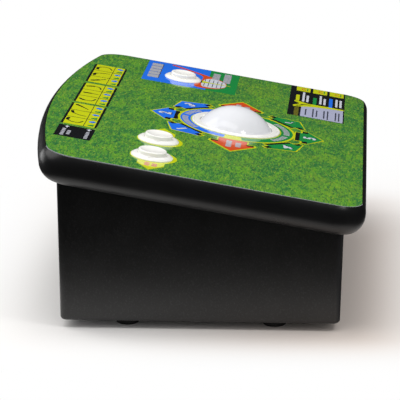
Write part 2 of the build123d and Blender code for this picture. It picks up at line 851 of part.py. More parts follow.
# ---------------------------------------------------------------- rear sockets and power switch
inner_wall_y = rear_wall_y - wall
socket_board_y = inner_wall_y - 13.0
socket_length = 8.5
sleeve_radius = 4.15  # where the plug's shell slides on
sleeve_seat_radius = 3.9  # inside the moulded block
sleeve_bore = 3.4
sleeve_step = 1.0  # from the rear wall's outer face to the start of the sliding length
rear_plane = Plane(origin=(0, inner_wall_y, socket_height), x_dir=(-1, 0, 0), z_dir=(0, 1, 0))
sockets_at = [(-video_socket_x, 0), (-audio_socket_x, 0)]


def phono_socket(position):
    """A moulded block behind the wall with a round collar that fills the hole in the wall."""
    with BuildPart() as socket:
        with BuildSketch(rear_plane.offset(-12.9)):
            with Locations(position):
                Rectangle(11, 12)
        extrude(amount=12.8)
        with BuildSketch(rear_plane.offset(-0.2)):
            with Locations(position):
                Circle(5.1)
        extrude(amount=wall + 1.0)
        fillet(socket.faces().sort_by(Axis.Y)[-1].edges(), 0.4)
        # seat of the metal sleeve, and the hole for the plug's pin
        with BuildSketch(rear_plane.offset(-1)):
            with Locations(position):
                Circle(sleeve_seat_radius)
                Circle(sleeve_bore, mode=Mode.SUBTRACT)
        extrude(amount=wall + 3, mode=Mode.SUBTRACT)
        with BuildSketch(rear_plane.offset(wall)):
            with Locations(position):
                Circle(sleeve_bore - 0.2)
        extrude(amount=socket_length - 1.5)
        with BuildSketch(rear_plane):
            with Locations(position):
                Circle(1.7)
        extrude(amount=20, mode=Mode.SUBTRACT)
    return socket


write_part(phono_socket(sockets_at[0]).part, "video_socket")
write_part(phono_socket(sockets_at[1]).part, "audio_socket")

with BuildPart() as sleeves:
    with BuildSketch(rear_plane.offset(-1)):
        with Locations(*sockets_at):
            Circle(sleeve_seat_radius)
    extrude(amount=1 + wall + sleeve_step)
    with BuildSketch(rear_plane.offset(wall + sleeve_step)):
        with Locations(*sockets_at):
            Circle(sleeve_radius)
    extrude(amount=socket_length - sleeve_step)
    with BuildSketch(rear_plane.offset(-1)):
        with Locations(*sockets_at):
            Circle(sleeve_bore)
    extrude(amount=1 + wall + socket_length, mode=Mode.SUBTRACT)
write_part(sleeves.part, "socket_sleeves")

with BuildPart() as power_jack:
    with BuildSketch(rear_plane.offset(-12.9)):
        with Locations((-power_jack_x, 0)):
            Rectangle(11, 12)
    extrude(amount=12.8)
    with BuildSketch(rear_plane.offset(-0.2)):
        with Locations((-power_jack_x, 0)):
            Circle(4.6)
    extrude(amount=wall + 0.1)
    with BuildSketch(rear_plane.offset(-9)):
        with Locations((-power_jack_x, 0)):
            Circle(2.8)
            Circle(1.0, mode=Mode.SUBTRACT)
    extrude(amount=20, mode=Mode.SUBTRACT)
write_part(power_jack.part, "power_jack")

switch_travel = 4.0
with BuildPart() as power_switch:
    with BuildSketch(rear_plane.offset(-7)):
        with Locations((-power_switch_x, 0)):
            Rectangle(20, 9)
    extrude(amount=6.9)
    with BuildSketch(rear_plane.offset(-5)):
        with Locations((-power_switch_x, 0)):
            Rectangle(11, 5)
    extrude(amount=6, mode=Mode.SUBTRACT)
write_part(power_switch.part, "power_switch_body")

with BuildPart() as switch_knob:
    with BuildSketch(rear_plane.offset(-4.8)):
        with Locations((-power_switch_x + switch_travel / 2, 0)):
            Rectangle(5, 4.4)
    extrude(amount=4.8 + wall + 1.2)
    fillet(switch_knob.faces().sort_by(Axis.Y)[-1].edges(), 0.5)
    with BuildSketch(rear_plane.offset(wall + 1.2)):
        with Locations((-power_switch_x + switch_travel / 2, 0)):
            with GridLocations(1.4, 0, 2, 1):
                Rectangle(0.5, 3.2)
    extrude(amount=-0.4, mode=Mode.SUBTRACT)
write_part(switch_knob.part, "power_switch_knob")

with BuildPart() as socket_board:
    with BuildSketch(rear_plane.offset(-12.9)):
        with Locations((-(power_jack_x + audio_socket_x) / 2, 0)):
            Rectangle(audio_socket_x - power_jack_x + 22, 20)
    extrude(amount=-board_thickness)
write_part(socket_board.part, "socket_board")


# ---------------------------------------------------------------- harnesses
def cable(*points, radius=1.6):
    """A round cable along a smooth curve through the points."""
    with BuildPart() as run:
        with BuildLine() as route:
            Spline(*points)
        with BuildSketch(Plane(origin=route.line @ 0, z_dir=route.line % 0)):
            Circle(radius)
        sweep()
    return run


def above(connector, height=0.3):
    """A point just over a board connector."""
    x, y = connectors_at[connector]
    return Vector(x, body_y + y, board_top + 7 + height)


ball_outlet = on_panel(0, -30, housing_depth + 1)
ball_harness = cable(ball_outlet, ball_outlet - normal * 12, above(1) + Vector(0, -4, 14), above(1))
write_part(ball_harness.part, "trackball_harness")

start_terminals = on_panel(start_button_x, button_v, switch_bottom + 8)
start_harness = cable(start_terminals, start_terminals - normal * 18, above(2) + Vector(20, 0, 20), above(2))
write_part(start_harness.part, "start_button_harness")

outer_terminals = on_panel(outer_button_x, button_v, switch_bottom + 8)
inner_terminals = on_panel(inner_button_x, button_v, switch_bottom + 8)
left_harness = cable(
    outer_terminals,
    outer_terminals - normal * 16 + Vector(20, 0, 0),
    inner_terminals - normal * 22 + Vector(20, 0, 0),
    above(0) + Vector(-24, 24, 26),
    above(0),
)
write_part(left_harness.part, "left_button_harness")

socket_harness = cable(
    Vector(0, socket_board_y - 4, socket_height),
    Vector(0, socket_board_y - 14, socket_height - 2),
    above(3) + Vector(0, 6, 12),
    above(3),
)
write_part(socket_harness.part, "socket_harness")

battery_harness = cable(
    Vector(bay_x + bay_width / 2 + bay_wall + 2, body_y + bay_y + 24, base_plate_bottom + 14),
    Vector(bay_x + bay_width / 2 + 20, body_y + bay_y + 44, base_plate_bottom + 22),
    Vector(power_switch_x, socket_board_y - 20, socket_height - 14),
    Vector(power_switch_x, inner_wall_y - 9, socket_height),
    radius=1.3,
)
write_part(battery_harness.part, "battery_harness")
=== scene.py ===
import json
from math import atan2, ceil, cos, hypot, pi, radians, sin

import bpy
from mathutils import Matrix, Vector


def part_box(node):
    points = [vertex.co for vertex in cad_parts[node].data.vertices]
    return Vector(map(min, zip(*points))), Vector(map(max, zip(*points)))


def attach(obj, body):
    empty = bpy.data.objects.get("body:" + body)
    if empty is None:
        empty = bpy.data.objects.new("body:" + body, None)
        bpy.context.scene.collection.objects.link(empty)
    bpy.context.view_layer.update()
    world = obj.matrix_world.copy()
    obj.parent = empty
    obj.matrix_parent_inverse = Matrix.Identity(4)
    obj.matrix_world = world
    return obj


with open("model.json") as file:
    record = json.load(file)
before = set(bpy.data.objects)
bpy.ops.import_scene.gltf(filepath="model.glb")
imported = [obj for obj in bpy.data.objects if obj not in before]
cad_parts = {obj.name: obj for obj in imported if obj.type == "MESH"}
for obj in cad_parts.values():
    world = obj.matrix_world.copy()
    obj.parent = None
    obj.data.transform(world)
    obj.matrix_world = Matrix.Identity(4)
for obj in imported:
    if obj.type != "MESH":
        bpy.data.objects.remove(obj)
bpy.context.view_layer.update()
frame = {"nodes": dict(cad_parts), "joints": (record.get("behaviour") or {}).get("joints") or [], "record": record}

nodes = frame["nodes"]
MM = 0.001

# ---------------------------------------------------------------- the panel's own frame
joints = {j["name"]: j for j in frame["joints"]}
normal = -Vector(joints["start_button_press"]["axis"]).normalized()
across = Vector((1, 0, 0))
up_slope = normal.cross(across)
ball_centre = Vector(joints["trackball_spin"]["pos_m"])
overlay_mesh = nodes["graphic_overlay"].data
panel_rise = max((v.co - ball_centre).dot(normal) for v in overlay_mesh.vertices)
panel_centre = ball_centre + normal * panel_rise


def on_panel(x, v, height=0.0):
    """The point x mm across and v mm up the slope from the trackball's axis, height mm above the print."""
    return panel_centre + across * (x * MM) + up_slope * (v * MM) + normal * (height * MM)


def panel_place(node):
    """Where the middle of a CAD node lies on the panel, as (x, v) in mm."""
    low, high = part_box(node)
    middle = (low + high) / 2 - panel_centre
    return middle.dot(across) / MM, middle.dot(up_slope) / MM


# ---------------------------------------------------------------- materials
def linear(rgb):
    """An 8 bit display colour as linear light."""
    out = []
    for c in rgb:
        c = c / 255
        out.append(c / 12.92 if c <= 0.04045 else ((c + 0.055) / 1.055) ** 2.4)
    return (*out, 1.0)


class Look:
    """One node material, with its coordinates in mm."""

    def __init__(self, name):
        self.material = bpy.data.materials.new(name)
        self.material.use_nodes = True
        self.tree = self.material.node_tree
        self.shader = next(n for n in self.tree.nodes if n.type == "BSDF_PRINCIPLED")
        texture = self.add("ShaderNodeTexCoord")
        self.place = self.scaled(texture.outputs["Object"], (1 / MM, 1 / MM, 1 / MM))

    def add(self, kind, **settings):
        node = self.tree.nodes.new(kind)
        for key, value in settings.items():
            setattr(node, key, value)
        return node

    def feed(self, socket, value):
        """Links a socket to another one's output, or sets its value."""
        if isinstance(value, bpy.types.NodeSocket):
            self.tree.links.new(value, socket)
        elif value is not None:
            socket.default_value = value

    def scaled(self, vector, by):
        node = self.add("ShaderNodeVectorMath", operation="MULTIPLY")
        self.feed(node.inputs[0], vector)
        node.inputs[1].default_value = by
        return node.outputs[0]

    def math(self, operation, a, b=None):
        node = self.add("ShaderNodeMath", operation=operation)
        self.feed(node.inputs[0], a)
        self.feed(node.inputs[1], b)
        return node.outputs[0]

    def noise(self, size, detail=2.0, rough=0.5, stretch=(1, 1, 1), place=None, distort=0.0, offset=0.0):
        """Noise whose features are about size mm, longer along an axis with a stretch above 1."""
        vector = self.scaled(place or self.place, tuple(1 / (size * s) for s in stretch))
        if offset:
            shift = self.add("ShaderNodeVectorMath", operation="ADD")
            self.feed(shift.inputs[0], vector)
            shift.inputs[1].default_value = (offset, offset * 1.7, offset * 0.6)
            vector = shift.outputs[0]
        node = self.add("ShaderNodeTexNoise")
        self.feed(node.inputs["Vector"], vector)
        node.inputs["Scale"].default_value = 1.0
        node.inputs["Detail"].default_value = detail
        node.inputs["Roughness"].default_value = rough
        node.inputs["Distortion"].default_value = distort
        return node.outputs["Fac"]

    def span(self, value, low, high, to_low=0.0, to_high=1.0):
        """Maps low..high to to_low..to_high, held at both ends."""
        node = self.add("ShaderNodeMapRange", interpolation_type="SMOOTHSTEP")
        self.feed(node.inputs["Value"], value)
        node.inputs["From Min"].default_value = low
        node.inputs["From Max"].default_value = high
        node.inputs["To Min"].default_value = to_low
        node.inputs["To Max"].default_value = to_high
        return node.outputs["Result"]

    def mix(self, share, a, b):
        node = self.add("ShaderNodeMix", data_type="RGBA")
        self.feed(node.inputs["Factor"], share)
        self.feed(node.inputs[6], a)
        self.feed(node.inputs[7], b)
        return node.outputs[2]

    def bump(self, height, depth, under=None):
        """A bump of depth mm, on top of another normal if there is one."""
        node = self.add("ShaderNodeBump")
        node.inputs["Strength"].default_value = 1.0
        node.inputs["Distance"].default_value = depth * MM
        self.feed(node.inputs["Height"], height)
        if under is not None:
            self.feed(node.inputs["Normal"], under)
        return node.outputs["Normal"]

    def soft_edges(self, radius):
        """A normal that rounds the piece's edges by radius mm."""
        node = self.add("ShaderNodeBevel", samples=4)
        node.inputs["Radius"].default_value = radius * MM
        return node.outputs["Normal"]

    def set(self, **inputs):
        for key, value in inputs.items():
            self.feed(self.shader.inputs[key.replace("_", " ")], value)


def shade(color, factor):
    return tuple(min(1.0, c * factor) for c in color[:3]) + (1.0,)


SPECK_AND_FRONT_SHEEN = linear((44, 44, 45))  # pale grains in black plastic, and the painted grey sheen on its faces towards the player
SPECK_SIZE = 1.4  # mm
USUAL_GLOSS = 0.5  # the shader's reflection level when nothing changes it
FACES_PLAYER, FACES_ASIDE = -0.9, -0.3  # the normal's y on a face towards the player and on one turned away


def plastic(name, rgb, rough, grain=0.5, depth=0.02, vary=0.12, edge=0.0, ior=1.5, coat=0.0, glow=0.0,
            speck=0.0, painted_sheen_front=False):
    """A moulded plastic: mould texture, uneven gloss, slight colour drift and softened edges.

    glow is a painted glow: the plastic gives off light of its own colour, which lifts its shaded sides, in place
    of the light that scatters inside a thick white plastic. speck is the share of small pale grains. The front
    flag takes the gloss off the faces towards the player and paints them a dull grey instead, a painted sheen in
    place of their reflections.
    """
    look = Look(name)
    color = linear(rgb)
    drift = look.noise(30.0, detail=3)
    base = look.mix(look.span(drift, 0.3, 0.7), shade(color, 1 - vary), shade(color, 1 + vary))
    if speck:
        grains = look.noise(SPECK_SIZE, detail=2, offset=6.7)
        base = look.mix(look.span(grains, 0.5, 0.75, 0.0, speck), base, SPECK_AND_FRONT_SHEEN)
    fine = look.noise(grain, detail=2)
    scuff = look.noise(9, detail=5, rough=0.7, stretch=(3, 1, 1), offset=4.1)
    uneven = look.math("ADD", look.span(drift, 0.2, 0.8, rough * 0.9, rough * 1.1),
                       look.span(scuff, 0.55, 0.75, 0.0, rough * 0.15))
    under = look.soft_edges(edge) if edge else None
    gloss = USUAL_GLOSS
    if painted_sheen_front:
        split = look.add("ShaderNodeSeparateXYZ")
        look.feed(split.inputs[0], look.add("ShaderNodeNewGeometry").outputs["Normal"])
        aside = look.span(split.outputs["Y"], FACES_PLAYER, FACES_ASIDE)
        gloss = look.math("MULTIPLY", aside, USUAL_GLOSS)
        # painted sheen: the faces towards the player get a flat grey in place of their gloss and reflections
        base = look.mix(aside, SPECK_AND_FRONT_SHEEN, base)
    look.set(Base_Color=base, Roughness=uneven, IOR=ior, Specular_IOR_Level=gloss, Coat_Weight=coat,
             Coat_Roughness=0.08, Normal=look.bump(fine, depth, under))
    # painted glow: the surface gives off light of its own colour, lifting its shaded sides
    if glow:
        look.set(Emission_Color=base, Emission_Strength=glow)
    return look.material


def metal(name, rgb, rough, stretch=(1, 1, 1), grain=0.3, depth=0.004, tarnish=0.2):
    """A metal with fine drawn lines and a little dulling."""
    look = Look(name)
    color = linear(rgb)
    lines = look.noise(grain, detail=3, stretch=stretch)
    dull = look.noise(4, detail=4, offset=2.3)
    base = look.mix(look.span(dull, 0.4, 0.7), color, shade(color, 1 - tarnish))
    look.set(Base_Color=base, Metallic=1.0, Roughness=look.span(dull, 0.3, 0.7, rough * 0.8, rough * 1.25),
             Normal=look.bump(lines, depth))
    return look.material


def circuit_board():
    """Green solder mask with copper tracks showing faintly through it."""
    look = Look("circuit_green")
    tracks = look.add("ShaderNodeTexBrick", offset=0.37, offset_frequency=3, squash=0.6, squash_frequency=2)
    look.feed(tracks.inputs["Vector"], look.place)
    tracks.inputs["Scale"].default_value = 1.0
    tracks.inputs["Mortar Size"].default_value = 0.35
    tracks.inputs["Brick Width"].default_value = 9.0
    tracks.inputs["Row Height"].default_value = 1.9
    mask = look.noise(14, detail=2)
    share = look.math("MULTIPLY", tracks.outputs["Fac"], look.span(mask, 0.4, 0.55))
    base = look.mix(share, linear((18, 84, 44)), linear((46, 128, 66)))
    look.set(Base_Color=base, Roughness=look.span(mask, 0.2, 0.8, 0.25, 0.4), IOR=1.5,
             Normal=look.bump(share, 0.035))
    return look.material


PALE_FROM = 0.72  # share of a cell's length where its lighter end starts


def cell_sleeve():
    """Two tone printed sleeves, with one end of every cell lighter."""
    look = Look("cell_wrap")
    split = look.add("ShaderNodeSeparateXYZ")
    look.feed(split.inputs[0], look.place)
    low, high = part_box("batteries")
    band = low.y / MM + (high.y - low.y) / MM * PALE_FROM
    share = look.span(split.outputs["Y"], band - 0.3, band + 0.3)
    wear = look.noise(2.5, detail=4)
    base = look.mix(share, linear((38, 40, 46)), linear((176, 150, 92)))
    base = look.mix(look.span(wear, 0.55, 0.8, 0.0, 0.35), base, linear((110, 110, 112)))
    look.set(Base_Color=base, Roughness=look.span(wear, 0.3, 0.7, 0.22, 0.34), Metallic=0.25,
             Normal=look.bump(look.noise(1.2), 0.01))
    return look.material


def cable_sleeve():
    """Soft PVC sleeving that shows the twist of the wires inside."""
    look = Look("cable_grey")
    twist = look.add("ShaderNodeTexWave", wave_type="BANDS", bands_direction="DIAGONAL")
    look.feed(twist.inputs["Vector"], look.place)
    twist.inputs["Scale"].default_value = 0.11
    twist.inputs["Distortion"].default_value = 1.5
    drift = look.span(look.noise(5, detail=3), 0.35, 0.65)
    base = look.mix(drift, linear((62, 62, 66)), linear((84, 84, 88)))
    look.set(Base_Color=base, Roughness=0.48, Normal=look.bump(twist.outputs["Fac"], 0.12))
    return look.material


def in_panel(look):
    """Coordinates in the plane of the panel, in mm: x across, y up the slope."""
    parts = []
    for axis in (across, up_slope):
        node = look.add("ShaderNodeVectorMath", operation="DOT_PRODUCT")
        look.feed(node.inputs[0], look.place)
        node.inputs[1].default_value = axis
        parts.append(node.outputs["Value"])
    join = look.add("ShaderNodeCombineXYZ")
    look.feed(join.inputs["X"], parts[0])
    look.feed(join.inputs["Y"], parts[1])
    return join.outputs[0]


LAMINATE_IOR = 1.6
LAMINATE_ROUGH = 0.09


def laminate_finish(look, flat):
    """The clear glossy laminate over every printed colour: faint waviness, light handling marks."""
    waves = look.noise(16, detail=2, place=flat)
    marks = look.noise(3.2, detail=6, rough=0.75, stretch=(5, 1, 1), place=flat, offset=7.0)
    rough = look.math("ADD", look.span(marks, 0.5, 0.8, LAMINATE_ROUGH, LAMINATE_ROUGH * 1.9),
                      look.span(waves, 0.3, 0.7, 0.0, 0.015))
    look.set(Roughness=rough, IOR=LAMINATE_IOR, Normal=look.bump(waves, 0.03))


def ink(name, rgb, drift=0.06):
    """A printed flat colour with a little press mottle."""
    look = Look(name)
    flat = in_panel(look)
    color = linear(rgb)
    mottle = look.noise(0.7, detail=3, place=flat)
    cloud = look.noise(22, detail=2, place=flat)
    base = look.mix(look.span(mottle, 0.3, 0.7), shade(color, 1 - drift), shade(color, 1 + drift))
    base = look.mix(look.span(cloud, 0.3, 0.7, 0.0, 0.5), base, shade(color, 1 - drift))
    look.set(Base_Color=base)
    laminate_finish(look, flat)
    return look.material


def printed_turf():
    """The overlay's picture of mown grass: soft mottling, blade streaks, pale and dark flecks."""
    look = Look("overlay_print")
    flat = in_panel(look)
    cloud = look.noise(34, detail=3, rough=0.6, stretch=(1.5, 1, 1), place=flat, distort=0.6)
    patch = look.noise(11, detail=4, rough=0.66, stretch=(2.2, 1, 1), place=flat, distort=0.6, offset=3.0)
    streak = look.noise(1.9, detail=2, rough=0.55, stretch=(3.2, 1, 1), place=flat, distort=0.4, offset=9.0)
    pale = look.noise(1.8, detail=2, rough=0.55, stretch=(3.4, 1, 1), place=flat, distort=0.4, offset=15.0)
    dark = look.noise(2.1, detail=2, rough=0.55, stretch=(3.2, 1, 1), place=flat, distort=0.4, offset=21.0)
    fine = look.noise(1.2, detail=1, stretch=(3.0, 1, 1), place=flat, offset=27.0)
    base = look.mix(look.span(patch, 0.40, 0.64), TURF["shade"], TURF["mid"])
    base = look.mix(look.span(cloud, 0.46, 0.66, 0.0, 0.5), base, TURF["sunny"])
    base = look.mix(look.span(streak, 0.42, 0.68, 0.0, 0.6), base, TURF["blade"])
    base = look.mix(look.span(dark, 0.44, 0.72, 0.0, 0.7), base, TURF["gap"])
    base = look.mix(look.span(pale, 0.52, 0.74, 0.0, 0.6), base, TURF["fleck"])
    base = look.mix(look.span(fine, 0.36, 0.64, 0.0, 0.35), base, TURF["gap"])
    look.set(Base_Color=base)
    laminate_finish(look, flat)
    return look.material


TURF = {
    "shade": linear((54, 124, 58)),
    "mid": linear((104, 166, 42)),
    "sunny": linear((128, 172, 40)),
    "blade": linear((118, 182, 58)),
    "gap": linear((36, 98, 60)),
    "fleck": linear((172, 190, 62)),
}

LOOKS = {
    "deck_black": plastic("deck_black", (22, 22, 23), 0.30, grain=0.35, depth=0.002, edge=0.35),
    "overlay_print": printed_turf(),
    # the body's faces towards the player carry a painted grey sheen in place of their reflections
    "body_black": plastic("body_black", (6, 6, 6), 0.32, grain=1.0, depth=0.05, edge=0.5, ior=1.6,
                          speck=0.5, painted_sheen_front=True),
    "base_black": plastic("base_black", (20, 20, 20), 0.55, grain=0.5, depth=0.04, edge=0.3),
    # the white parts carry a painted glow that lifts their shaded sides
    "white_gloss": plastic("white_gloss", (240, 239, 234), 0.22, grain=0.5, depth=0.002, vary=0.02,
                           edge=0.25, coat=0.4, glow=0.10),
    "ball_white": plastic("ball_white", (216, 217, 221), 0.06, grain=0.4, depth=0.0006, vary=0.01,
                          glow=0.13),
    "foot_rubber": plastic("foot_rubber", (26, 26, 26), 0.75, grain=0.4, depth=0.05, edge=0.4),
    "housing_plastic": plastic("housing_plastic", (46, 46, 48), 0.5, grain=0.6, depth=0.03, edge=0.3),
    "roller_plastic": plastic("roller_plastic", (198, 196, 186), 0.35, grain=0.3, depth=0.006, vary=0.05),
    "encoder_plastic": plastic("encoder_plastic", (34, 34, 36), 0.3, grain=0.3, depth=0.004),
    "steel": metal("steel", (184, 184, 188), 0.24, stretch=(6, 1, 1)),
    "zinc": metal("zinc", (190, 190, 182), 0.38, grain=0.6, depth=0.01, tarnish=0.3),
    "black_screw": metal("black_screw", (42, 42, 44), 0.42, grain=0.4, depth=0.01),
    "circuit_green": circuit_board(),
    "chip_black": plastic("chip_black", (28, 28, 29), 0.45, grain=0.25, depth=0.015, edge=0.15),
    "capacitor_sleeve": plastic("capacitor_sleeve", (28, 36, 84), 0.26, grain=0.8, depth=0.006),
    "connector_white": plastic("connector_white", (222, 218, 200), 0.42, grain=0.4, depth=0.01,
                               vary=0.04),
    "switch_black": plastic("switch_black", (36, 36, 37), 0.46, grain=0.3, depth=0.015, edge=0.2),
    "nut_black": plastic("nut_black", (42, 42, 43), 0.5, grain=0.4, depth=0.02, edge=0.3),
    "cell_wrap": cell_sleeve(),
    "socket_yellow": plastic("socket_yellow", (226, 190, 40), 0.32, grain=0.4, depth=0.008, vary=0.06,
                             edge=0.2),
    "socket_white": plastic("socket_white", (230, 228, 222), 0.32, grain=0.4, depth=0.008, vary=0.04,
                            edge=0.2),
    "socket_metal": metal("socket_metal", (222, 222, 226), 0.16, depth=0.002, tarnish=0.1),
    "cable_grey": cable_sleeve(),
}
slot_names = {part["node"]: part["material_slot"] for part in frame["record"]["subparts"]}
for name, node in nodes.items():
    for place in node.material_slots:
        place.material = LOOKS[slot_names[name]]

INKS = {
    "yellow": ink("ink_yellow", (204, 213, 18)),
    "dull_yellow": ink("ink_dull_yellow", (116, 112, 34)),
    "blue": ink("ink_blue", (34, 116, 240)),
    "green": ink("ink_green", (26, 142, 66)),
    "orange": ink("ink_orange", (216, 80, 28)),
    "red": ink("ink_red", (206, 66, 44)),
    "black": ink("ink_black", (19, 21, 24)),
    "grey": ink("ink_grey", (176, 178, 186)),
    "pale": ink("ink_pale", (212, 216, 226)),
    "panel": ink("ink_panel", (180, 184, 210)),
    "line": ink("ink_line", (72, 76, 92)),
    "shadow": ink("ink_shadow", (26, 38, 74)),
    # the laminate's cut edge: its pale colour is lightened into a painted highlight line
    "edge": ink("ink_edge_and_highlight", (158, 161, 166), drift=0.2),
    "faded_red": ink("ink_faded_red", (208, 134, 104)),
    "sketch": ink("ink_sketch", (58, 62, 34)),
}

# ---------------------------------------------------------------- printed artwork
LAYER = 0.05  # height of each printed layer above the one below, mm
SHEET = 0.04  # thickness of a printed shape, mm
PRINT_EDGE = 198.6  # printed shapes stop just inside the overlay's side edges
ARC_STEP = 4.0  # degrees between points on a curve


class Artwork:
    """Flat printed shapes that together make one piece. Each is a thin closed slab on its own layer."""

    def __init__(self, name):
        self.name = name
        self.points, self.faces, self.colors, self.inks = [], [], [], []

    def ink_index(self, color):
        if color not in self.inks:
            self.inks.append(color)
        return self.inks.index(color)

    def shape(self, outline, color, layer):
        """A filled outline of (x, v) points in mm."""
        outline = [(max(-PRINT_EDGE, min(PRINT_EDGE, x)), v) for x, v in outline]
        turn = sum(a[0] * b[1] - b[0] * a[1] for a, b in zip(outline, outline[1:] + outline[:1]))
        if turn < 0:
            outline = outline[::-1]
        count, first = len(outline), len(self.points)
        top = layer * LAYER
        self.points += [on_panel(x, v, top) for x, v in outline]
        self.points += [on_panel(x, v, top - SHEET) for x, v in outline]
        self.faces.append([first + i for i in range(count)])
        self.faces.append([first + count + i for i in reversed(range(count))])
        for i in range(count):
            j = (i + 1) % count
            self.faces.append([first + i, first + count + i, first + count + j, first + j])
        self.colors += [self.ink_index(color)] * (count + 2)

    def bar(self, x0, x1, v0, v1, color, layer, corner=0.5):
        """A rectangle with rounded corners."""
        x0, x1 = sorted((x0, x1))
        v0, v1 = sorted((v0, v1))
        x1 = min(x1, PRINT_EDGE)
        r = min(corner, (x1 - x0) / 2.01, (v1 - v0) / 2.01)
        outline = []
        corners = ((x1 - r, v1 - r, 0), (x0 + r, v1 - r, 90), (x0 + r, v0 + r, 180), (x1 - r, v0 + r, 270))
        for cx, cv, from_angle in corners:
            for k in range(4):
                a = radians(from_angle + 30 * k)
                outline.append((cx + r * cos(a), cv + r * sin(a)))
        self.shape(outline, color, layer)

    def row(self, start, end, low, high, count, gap, color, layer, corner=0.5):
        """Equal bars side by side from x = start to x = end, each shortened by gap mm at both ends."""
        pitch = (end - start) / count
        inset = gap if end > start else -gap
        for k in range(count):
            near = start + pitch * k + inset
            far = start + pitch * (k + 1) - inset
            self.bar(near, far, low, high, color, layer, corner)

    def sector(self, r0, r1, a0, a1, color, layer, centre=(0.0, 0.0)):
        """Part of a ring, from angle a0 to a1 in degrees."""
        steps = max(1, ceil((a1 - a0) / ARC_STEP))
        angles = [radians(a0 + (a1 - a0) * k / steps) for k in range(steps + 1)]
        outer = [(centre[0] + r1 * cos(a), centre[1] + r1 * sin(a)) for a in angles]
        inner = [(centre[0] + r0 * cos(a), centre[1] + r0 * sin(a)) for a in reversed(angles)]
        self.shape(outer + inner, color, layer)

    def ring(self, r0, r1, color, layer, centre=(0.0, 0.0)):
        """A whole ring, as four sectors."""
        for start in (0, 90, 180, 270):
            self.sector(r0, r1, start, start + 90, color, layer, centre)

    def stroke(self, path, width, color, layer):
        """A line of even width through the points, with round ends."""
        left, right = [], []
        for i, (x, v) in enumerate(path):
            ax, av = path[max(i - 1, 0)]
            bx, bv = path[min(i + 1, len(path) - 1)]
            size = hypot(bx - ax, bv - av)
            nx, nv = -(bv - av) / size * width / 2, (bx - ax) / size * width / 2
            left.append((x + nx, v + nv))
            right.append((x - nx, v - nv))
        caps = []
        for end, other in ((path[-1], path[-2]), (path[0], path[1])):
            heading = atan2(end[1] - other[1], end[0] - other[0])
            caps.append([(end[0] + width / 2 * cos(heading + a), end[1] + width / 2 * sin(heading + a))
                         for a in (pi / 4, 0, -pi / 4)])
        self.shape(left + caps[0] + right[::-1] + caps[1], color, layer)

    def stamp(self, mesh, x, v, spin, color, layer):
        """A copy of a thin flat mesh, turned by spin and laid at (x, v) on its layer."""
        first = len(self.points)
        for corner in mesh.vertices:
            px = x + corner.co.x * cos(spin) - corner.co.y * sin(spin)
            pv = v + corner.co.x * sin(spin) + corner.co.y * cos(spin)
            self.points.append(on_panel(px, pv, layer * LAYER - SHEET / 2 + corner.co.z))
        for face in mesh.polygons:
            self.faces.append([first + i for i in face.vertices])
            self.colors.append(self.ink_index(color))

    def build(self):
        """Makes the mesh, on the console's fixed body."""
        mesh = bpy.data.meshes.new(self.name)
        mesh.from_pydata(self.points, [], self.faces)
        for color in self.inks:
            mesh.materials.append(INKS[color])
        mesh.polygons.foreach_set("material_index", self.colors)
        mesh.update()
        piece = bpy.data.objects.new(self.name, mesh)
        bpy.context.scene.collection.objects.link(piece)
        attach(piece, "root")
        return piece


def between(a, b, c, d, t):
    """The smooth value a share t of the way from b to c, where a comes before them and d after."""
    square = 2 * a - 5 * b + 4 * c - d
    cube = 3 * b - a - 3 * c + d
    return 0.5 * (2 * b + (c - a) * t + square * t**2 + cube * t**3)


def curve(points, steps=6):
    """A smooth path through the points."""
    ends = [points[0]] + list(points) + [points[-1]]
    path = []
    for p0, p1, p2, p3 in zip(ends, ends[1:], ends[2:], ends[3:]):
        for k in range(steps):
            t = k / steps
            path.append(tuple(between(a, b, c, d, t) for a, b, c, d in zip(p0, p1, p2, p3)))
    return path + [points[-1]]


def turned(points, degrees, reach=0.0, centre=(0.0, 0.0)):
    """Points given as (along, sideways), turned so that along points at that angle."""
    a = radians(degrees)
    return [(centre[0] + (reach + s) * cos(a) - p * sin(a), centre[1] + (reach + s) * sin(a) + p * cos(a))
            for s, p in points]


def mirrored(half):
    """A symmetric outline from its points on one side, given from tip to tail."""
    return half + [(s, -p) for s, p in reversed(half) if p]


# coloured rings round the trackball, with block marks where the words were
rings = Artwork("print_ball_rings")
BAND_INNER, BAND_OUTER = 39.9, 50.4
MARK_INNER, MARK_OUTER = 42.3, 47.6
MARK_GAP = 0.8  # degrees left free at both ends of a block
WEDGE = 9.5  # half the angle of the yellow part at each side
RING_MIDDLE = (0.0, -0.6)  # the outer line's centre
rings.sector(BAND_INNER, BAND_OUTER, WEDGE, 180 - WEDGE, "blue", 1)
rings.sector(BAND_INNER, BAND_OUTER, 180 + WEDGE, 360 - WEDGE, "green", 1)
rings.sector(BAND_INNER, BAND_OUTER, -WEDGE, WEDGE, "yellow", 1)
rings.sector(BAND_INNER, BAND_OUTER, 180 - WEDGE, 180 + WEDGE, "yellow", 1)
rings.ring(39.1, 40.1, "yellow", 2)
rings.ring(49.8, 51.9, "yellow", 3, centre=RING_MIDDLE)
for first, last, count in ((48, 79, 6), (85, 134, 9), (-133, -102, 6), (-96, -48, 9)):
    pitch = (last - first) / count
    for k in range(count):
        here = first + pitch * k
        rings.sector(MARK_INNER, MARK_OUTER, here + MARK_GAP, here + pitch - MARK_GAP, "grey", 3)
rings.build()

